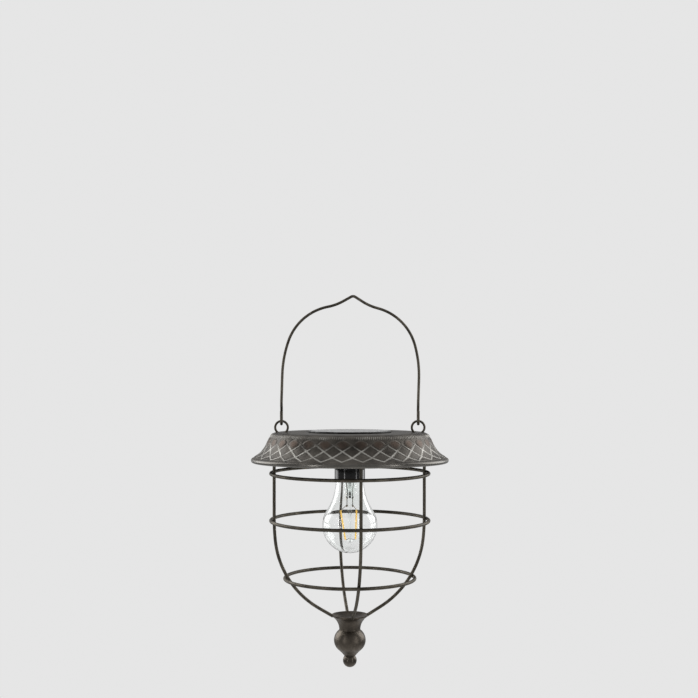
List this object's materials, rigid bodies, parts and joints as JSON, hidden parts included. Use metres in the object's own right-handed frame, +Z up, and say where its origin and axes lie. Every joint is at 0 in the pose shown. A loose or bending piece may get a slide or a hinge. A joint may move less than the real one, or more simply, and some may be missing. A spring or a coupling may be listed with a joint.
{
  "type": "solar lantern",
  "caption": "Hanging solar lantern: flared embossed canopy with a solar module, wire cage with a turned finial, clear globe bulb, and a wire bail that swings in two eyes.",
  "frame": {"origin": "hanging point: the inside top of the bail's peak, where the hook that carries the lantern lies", "axes": "+Z up, -Y towards the lantern's front, +X along the bail's hinge axis"},
  "size_m": [0.2152, 0.2152, 0.4059],
  "materials": {
    "bronze_paint": "antique dark bronze paint, satin, dry-brushed with silver grey on the raised edges",
    "finial_bronze": "antique dark bronze paint over a cast and turned finial, satin",
    "black_gloss": "moulded black, polished",
    "black_matte": "moulded black, fine texture",
    "seal_rubber": "soft black sheet",
    "solar_cell": "dark blue-black silicon with fine silver grid lines",
    "window_clear": "clear and glossy",
    "bulb_clear": "clear and glossy",
    "filament": "yellow phosphor coat on a thin rod",
    "spring_plate": "nickel plated",
    "steel": "zinc plated",
    "battery_wrap": "plain printed sleeve",
    "board": "green solder mask",
    "board_parts": "moulded black components"
  },
  "bodies": {
    "bail": {"bail_wire": "bronze_paint"},
    "lantern": {"left_eye": "bronze_paint", "right_eye": "bronze_paint", "roof_cap": "bronze_paint", "rib_front": "bronze_paint", "rib_right": "bronze_paint", "rib_back": "bronze_paint", "rib_left": "bronze_paint", "hoop_top": "bronze_paint", "hoop_middle": "bronze_paint", "hoop_bottom": "bronze_paint", "finial_cup": "finial_bronze", "finial_ball": "finial_bronze", "finial_tip": "finial_bronze", "finial_stud": "steel", "module_housing": "black_gloss", "solar_cell": "solar_cell", "solar_window": "window_clear", "module_seal": "seal_rubber", "retaining_ring": "black_matte", "housing_cover": "black_matte", "housing_screws": "steel", "battery_cell": "battery_wrap", "battery_contact": "spring_plate", "battery_spring": "spring_plate", "battery_door": "black_matte", "circuit_board": "board", "board_parts": "board_parts", "switch_frame": "spring_plate", "lamp_holder": "black_gloss", "bulb_glass": "bulb_clear", "bulb_cap": "spring_plate", "bulb_stem": "bulb_clear", "filament_left": "filament", "filament_right": "filament", "lead_wires": "spring_plate", "support_wires": "spring_plate"},
    "switch": {"switch_knob": "black_matte"}
  },
  "joints": [
    {"name": "lantern_swing", "type": "hinge", "parent": "bail", "child": "lantern", "pos_m": [0, 0, -0.1346], "axis": [1, 0, 0], "range_deg": [-100, 100]},
    {"name": "switch_slide", "type": "slide", "parent": "lantern", "child": "switch", "axis": [1, 0, 0], "range_m": [0, 0.004]}
  ]
}
